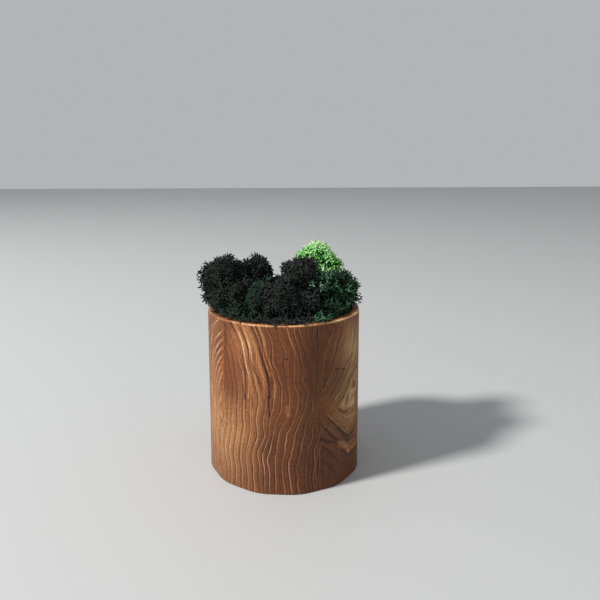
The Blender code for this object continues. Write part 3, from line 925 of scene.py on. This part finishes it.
# %% The seam and the painted highlight on the rim's edge
SEAM, SEAM_FOOT = -137.5, 44  # the seam's angle, and the height above which it shows
SEAM_FADE, SEAM_WIDTH = 8, 9  # in mm up the side, and in degrees
SEAM_CHANGES = {"shade": -0.08, "cast": -0.5, "pale_lines": -0.4, "half_rings": -0.6}
# a painted highlight along the rim's outer edge, where the light catches its rounding, weaker at the front left
RIM_HIGHLIGHT_WIDTH = 0.75
RIM_HIGHLIGHT_CHANGES = {"shade": 0.6, "cast": 0.5}
WEAKER_RIM_HIGHLIGHT = (-150, RIM / MM, 28)  # angle, height and reach in mm of where the painted highlight is weaker
WIDE_GAP, GAP_FADE = 12, 4  # lines are lost where the rings lie this many mm apart

past_seam = np.degrees(np.arctan2(side_points[:, 1], side_points[:, 0])) - SEAM
by_seam = np.clip((side_points[:, 2] - SEAM_FOOT) / SEAM_FADE, 0, 1) * np.clip(past_seam + 0.5, 0, 1)
by_seam *= np.exp(-((past_seam / SEAM_WIDTH) ** 2))
for name, change in SEAM_CHANGES.items():
    fields[name] += change * by_seam

from_round = np.linalg.norm(side_points[:, :2], axis=1) - POT_RADIUS / MM
from_edge = np.hypot(from_round, side_points[:, 2] - RIM / MM)
rim_highlight = np.exp(-((from_edge / RIM_HIGHLIGHT_WIDTH) ** 4)) * (1 - 0.7 * in_patch(side_points, *WEAKER_RIM_HIGHLIGHT))
for name, change in RIM_HIGHLIGHT_CHANGES.items():
    fields[name] += change * rim_highlight
for name in ("pale_lines", "dark_lines", "half_rings"):
    fields[name] *= np.clip((WIDE_GAP - ring_gap) / GAP_FADE, 0, 1)
for name, values in fields.items():
    store(pot_mesh, name, values if name == "cast" else np.maximum(values, 0))
    print(name, "from", round(float(values.min()), 2), "to", round(float(values.max()), 2))

# %% [markdown]
# ## Oiled hardwood
#
# The real finish is a ring-porous hardwood, sanded and oiled. Oil darkens the wood and lets its grain show
# with a soft satin gloss, and it leaves no film, so there is no coat on the shader. Each ring is drawn as a
# thin pale line with a dark shadow beside it, as its late wood and early wood look. Real lines waver, so the
# ring numbers get a slow and a fine wobble first. Between the lines there are fine stripes along the rings,
# pores as dark dashes up the grain, and faint cross flecks where the rays are cut.

# %% Noises with the wood's own sizes
GRAINS = {  # how wide the spots of each noise are across and up the grain, in mm
    "slow wobble": (7.0, 7.0),
    "fine wobble": (1.2, 2.4),
    "broken lines": (9.0, 14.0),
    "pores": (0.6, 4.0),  # real ones are 0.3 mm wide, too fine to show in the picture
    "rays": (2.4, 0.9),
    "gloss": (3.0, 6.0),
}

wood, tree = new_material("oiled_hardwood")
stored = {}
for name in ("ring", "ring_gap", *FIELDS):
    stored[name] = add_node(tree, STORED, {}, attribute_name=name).outputs["Fac"]
place = add_node(tree, "ShaderNodeTexCoord", {}).outputs["Object"]
grains = {}
for name, (across, up) in GRAINS.items():
    scale = (1 / (across * MM), 1 / (across * MM), 1 / (up * MM))
    scaled = add_node(tree, "ShaderNodeMapping", {"Vector": place, "Scale": scale})
    grains[name] = add_node(tree, NOISE, {"Vector": scaled, "Scale": 1.0, "Detail": 2.0})
print(len(stored), "stored numbers and", len(grains), "noises")

# %% Lines along the rings
LINE_HALF_WIDTH = 0.32
SHADOW_WIDTH = 1.0

wobble = add_node(tree, MATH, (grains["slow wobble"], 0.5, -0.3), operation="MULTIPLY_ADD")
wobble = add_node(tree, MATH, (grains["fine wobble"], 0.09, wobble), operation="MULTIPLY_ADD")
wavering = add_node(tree, MATH, (stored["ring"], wobble), operation="ADD")
nearest = add_node(tree, MATH, (wavering,), operation="ROUND")
share = add_node(tree, MATH, (wavering, nearest), operation="SUBTRACT")
off_line = add_node(tree, MATH, (share, stored["ring_gap"]), operation="MULTIPLY")
off_side = add_node(tree, MATH, (off_line,), operation="ABSOLUTE")
half_gap = add_node(tree, MATH, (stored["ring_gap"], 0.5), operation="MULTIPLY")
off_half = add_node(tree, MATH, (half_gap, off_side), operation="SUBTRACT")

shapes = {}
for name, *span in (
    ("pale", off_side, 0.05, LINE_HALF_WIDTH, 1.0, 0.0),
    ("half pale", off_half, 0.05, LINE_HALF_WIDTH, 1.0, 0.0),
    ("half dark", off_half, 0.35, 0.8, 1.0, 0.0),
    ("dark, far side", off_line, -0.45, -SHADOW_WIDTH - 0.2, 1.0, 0.0),
    ("dark, near side", off_line, -0.4, -0.05, 1.0, 0.0),
    ("unbroken", grains["broken lines"], 0.38, 0.58, 0.35, 1.0),
):
    shapes[name] = add_node(tree, RANGE, span, interpolation_type="SMOOTHSTEP")

ring_chance = add_node(tree, "ShaderNodeTexWhiteNoise", {"W": nearest}, noise_dimensions="1D")
ring_strength = add_node(tree, RANGE, (ring_chance, 0.0, 1.0, 0.65, 1.1))
strength = add_node(tree, MATH, (ring_strength, shapes["unbroken"]), operation="MULTIPLY")
half_pale = add_node(tree, MATH, (shapes["half pale"], stored["half_rings"]), operation="MULTIPLY")
both = add_node(tree, MATH, (shapes["pale"], half_pale), operation="MAXIMUM")
pale = add_node(tree, MATH, (both, strength), operation="MULTIPLY")
pale_amount = add_node(tree, MATH, (pale, stored["pale_lines"]), operation="MULTIPLY")
sides = (shapes["dark, far side"], shapes["dark, near side"])
shadow = add_node(tree, MATH, sides, operation="MULTIPLY")
half_dark = add_node(tree, MATH, (shapes["half dark"], stored["half_rings"]), operation="MULTIPLY")
either = add_node(tree, MATH, (shadow, half_dark), operation="MAXIMUM")
dark = add_node(tree, MATH, (either, stored["dark_lines"]), operation="MULTIPLY")
print("lines ready:", len(tree.nodes), "nodes")

# %% The wood's shade, from light and dark parts
STRIPES_PER_RING = 5.0
WOOD_TONES = ("#26120a", "#4f2c18", "#744726", "#9f6e43", "#d3aa7e")

stripe_place = add_node(tree, MATH, (wavering, STRIPES_PER_RING), operation="MULTIPLY")
stripe_noise = add_node(tree, NOISE, {"W": stripe_place, "Scale": 1.0, "Detail": 2.0}, noise_dimensions="1D")
stripe_span = (stripe_noise, 0.33, 0.67, -0.12, 0.12)
striped = add_node(tree, RANGE, stripe_span, interpolation_type="SMOOTHSTEP")
stripes = add_node(tree, MATH, (striped, stored["stripes"]), operation="MULTIPLY")
pores = add_node(tree, RANGE, (grains["pores"], 0.58, 0.75), interpolation_type="SMOOTHSTEP")
rays = add_node(tree, MATH, (grains["rays"], 0.5), operation="SUBTRACT")
level = add_node(tree, MATH, (stored["shade"], stripes), operation="ADD")
for part, amount in ((dark, -0.16), (pores, -0.16), (rays, 0.24), (pale_amount, 0.10)):
    level = add_node(tree, MATH, (part, amount, level), operation="MULTIPLY_ADD")

tones = add_node(tree, RAMP, {"Fac": level})
stops = tones.color_ramp.elements
for stop, colour in zip((0.02, 0.25, 0.5, 0.75, 0.98), WOOD_TONES):
    stops.new(stop).color = linear(colour)
stops.remove(stops[0])
stops.remove(stops[-1])
print("shade ready:", len(tree.nodes), "nodes")

# %% Its colour, gloss and relief
# each end of the cast, and how much of red, green and blue it leaves there
CASTS = ((-1.2, (1.05, 0.86, 0.80, 1.0)), (1.2, (0.92, 1.07, 1.04, 1.0)))

colour = tones.outputs["Color"]
for end, tint in CASTS:
    amount = add_node(tree, RANGE, (stored["cast"], 0.0, end), interpolation_type="SMOOTHSTEP")
    tinting = {"Factor": amount, "A": colour, "B": tint}
    colour = add_node(tree, MIX, tinting, data_type="RGBA", blend_type="MULTIPLY")
late_wood = linear("#c99f7e")
colour = add_node(tree, MIX, {"Factor": pale_amount, "A": colour, "B": late_wood}, data_type="RGBA")
relief = add_node(tree, MATH, (pores, -1.0, pale), operation="MULTIPLY_ADD")
skin = add_node(tree, BUMP, {"Height": relief, "Strength": 0.3, "Distance": 0.05 * MM})
gloss = add_node(tree, RANGE, (grains["gloss"], 0.3, 0.7, 0.46, 0.60))
shader = add_node(
    tree,
    SHADER,
    {"Base Color": colour, "Normal": skin, "Roughness": gloss, "IOR": 1.47, "Specular IOR Level": 0.3},
)
add_node(tree, OUTPUT, {"Surface": shader})
pot_mesh.materials.append(wood)
print("oiled hardwood:", len(tree.nodes), "nodes")

# %% [markdown]
# ## Dry foam
#
# The moss is pinned on a plug of dry florist's foam: fine, open and dull green, with crumbling pits of about
# 0.6 mm. Hardly any of it shows between the cushions, so its plain solid stays, and only gets its finish.

# %% Finish the foam
FOAM_PIT = 0.6 * MM

foam_finish, tree = new_material("dry_foam")
place = add_node(tree, "ShaderNodeTexCoord", {}).outputs["Object"]
pits = add_node(tree, "ShaderNodeTexVoronoi", {"Vector": place, "Scale": 1 / FOAM_PIT})
# the colour is darker towards the bottom of each pit: painted shade in the pits
tones = add_node(tree, RAMP, {"Fac": pits})
for element, colour in zip(tones.color_ramp.elements, ("#1c2416", "#4d5a3c")):
    element.color = linear(colour)
skin = add_node(tree, BUMP, {"Height": pits, "Strength": 0.6, "Distance": 0.2 * MM})
shader = add_node(tree, SHADER, {"Base Color": tones, "Normal": skin, "Roughness": 0.95, "IOR": 1.3})
add_node(tree, OUTPUT, {"Surface": shader})
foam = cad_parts["foam_plug"]
foam.data.materials.clear()
foam.data.materials.append(foam_finish)
print("dry foam on", foam.name)

# %% [markdown]
# ## Floor and light
#
# The photograph's key light comes from the left, a little in front of the pot and about 40 degrees up. A disc
# lamp 2.4 m away gives it soft-edged shadows, and an even pale sky fills them.

# %% Floor, key light and fill
FLOOR_REACH = 3.0
KEY_DIRECTION = Vector((-0.69, -0.32, 0.64)).normalized()
KEY_DISTANCE = 2.4
KEY_SIZE = 0.32
KEY_POWER = 84.0
KEY_AIM = Vector((0.0, 0.0, 0.05))
SKY_STRENGTH = 0.55

floor_bm = bmesh.new()
bmesh.ops.create_grid(floor_bm, x_segments=1, y_segments=1, size=FLOOR_REACH)
floor = add_object("floor", mesh_from(floor_bm, "floor"))
material, tree = new_material("pale_floor")
shader = add_node(tree, SHADER, {"Base Color": linear("#b5b5b4"), "Roughness": 0.6})
add_node(tree, OUTPUT, {"Surface": shader})
floor.data.materials.append(material)

key_data = bpy.data.lights.new("key", "AREA")
key_data.shape = "DISK"
key_data.size = KEY_SIZE
key_data.energy = KEY_POWER
key = add_object("key", key_data)
facing = KEY_DIRECTION.to_track_quat("Z", "Y").to_matrix().to_4x4()
key.matrix_world = Matrix.Translation(KEY_AIM + KEY_DIRECTION * KEY_DISTANCE) @ facing

world = bpy.data.worlds.new("studio")
world.use_nodes = True
sky = world.node_tree.nodes["Background"].inputs
sky["Color"].default_value = linear("#e8ebee")
sky["Strength"].default_value = SKY_STRENGTH
bpy.context.scene.world = world
bpy.context.scene.view_settings.view_transform = "Standard"
print("key light at", tuple(round(v, 2) for v in key.matrix_world.translation))
